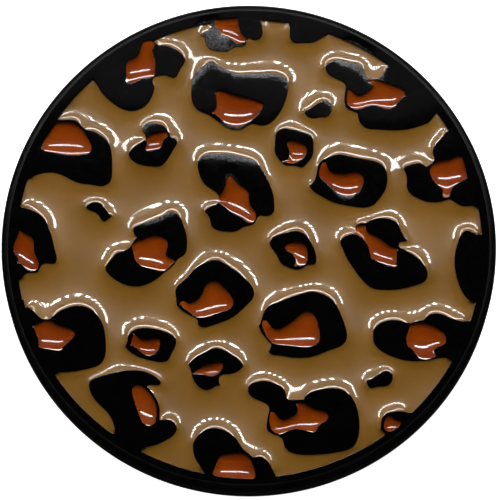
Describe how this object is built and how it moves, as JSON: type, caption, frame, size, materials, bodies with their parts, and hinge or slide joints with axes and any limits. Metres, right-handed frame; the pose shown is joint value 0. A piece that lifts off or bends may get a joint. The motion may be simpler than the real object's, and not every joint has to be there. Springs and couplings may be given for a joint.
{
  "type": "golf ball marker",
  "caption": "Round flat golf ball marker, a struck metal disc whose raised rim and leopard-spot lands are black, with tan and orange soft enamel pooled between them.",
  "frame": {"origin": "centre of the disc at its back, on the surface it lies on", "axes": "+Z out of the enamelled face, +Y towards the top of the pattern, +X to its right"},
  "size_m": [0.025, 0.025, 0.0022],
  "materials": {
    "black_metal": "gloss black plating over struck iron, faint orange peel",
    "tan_enamel": "glossy soft enamel, surface dished between the metal lands",
    "orange_enamel": "glossy soft enamel, surface dished between the metal lands"
  },
  "bodies": {
    "root": {"struck_disc": "black_metal", "tan_enamel": "tan_enamel", "orange_northwest_rim": "orange_enamel", "orange_west_upper_rim": "orange_enamel", "orange_west_rim": "orange_enamel", "orange_west_lower_rim": "orange_enamel", "orange_southwest_rim": "orange_enamel", "orange_south_rim": "orange_enamel", "orange_north_rim": "orange_enamel", "orange_northeast_rim": "orange_enamel", "orange_east_upper_rim": "orange_enamel", "orange_east_lower_rim": "orange_enamel", "orange_southeast_rim": "orange_enamel", "orange_north_large": "orange_enamel", "orange_northwest_inner": "orange_enamel", "orange_centre": "orange_enamel", "orange_north_inner": "orange_enamel", "orange_northeast_inner": "orange_enamel", "orange_east_inner": "orange_enamel", "orange_centre_right": "orange_enamel", "orange_west_inner": "orange_enamel", "orange_centre_lower": "orange_enamel", "orange_southwest_inner": "orange_enamel", "orange_south_inner": "orange_enamel", "orange_southeast_inner": "orange_enamel", "orange_south_large": "orange_enamel"}
  },
  "joints": []
}
